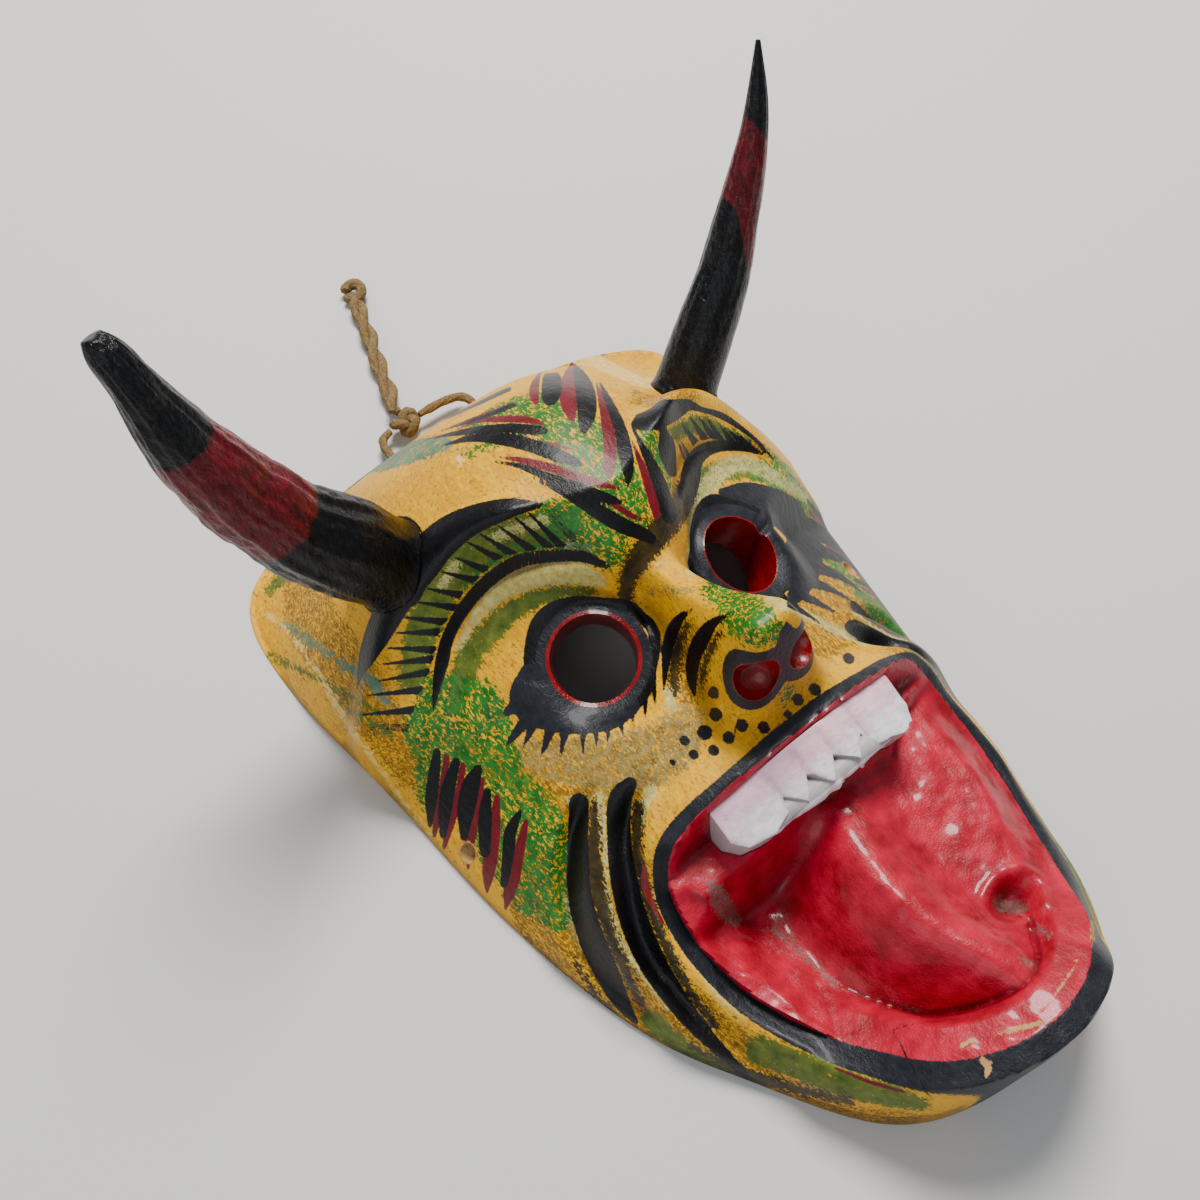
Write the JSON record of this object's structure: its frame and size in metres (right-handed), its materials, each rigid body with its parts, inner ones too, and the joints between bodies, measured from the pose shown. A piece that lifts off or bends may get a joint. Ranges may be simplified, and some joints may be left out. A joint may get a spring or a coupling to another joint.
{
  "type": "carved wooden horned devil mask",
  "caption": "Carved and painted wooden devil mask, hollow at the back, with real horns, an open mouth with a tongue and teeth, and a jute hanging cord.",
  "frame": {"origin": "the middle of the mask and horns in plan, on the plane of the flat back rim", "axes": "+X to the viewer's right, +Y from chin to crown, +Z out of the face"},
  "size_m": [0.2286, 0.4158, 0.1691],
  "materials": {
    "painted_wood": "hand painted, yellow ground with green, black and red, dry brushed gold ridges, varnished",
    "horn_paint": "animal horn painted black with a dark red band",
    "tooth_paint": "white paint with pink traces",
    "jute": "natural jute twine"
  },
  "bodies": {
    "root": {"mask_body": "painted_wood", "horn_left": "horn_paint", "horn_right": "horn_paint", "upper_teeth": "tooth_paint", "hanger_loop": "jute", "hanger_knot": "jute", "hanger_twist": "jute", "hanger_eye": "jute"}
  },
  "joints": []
}
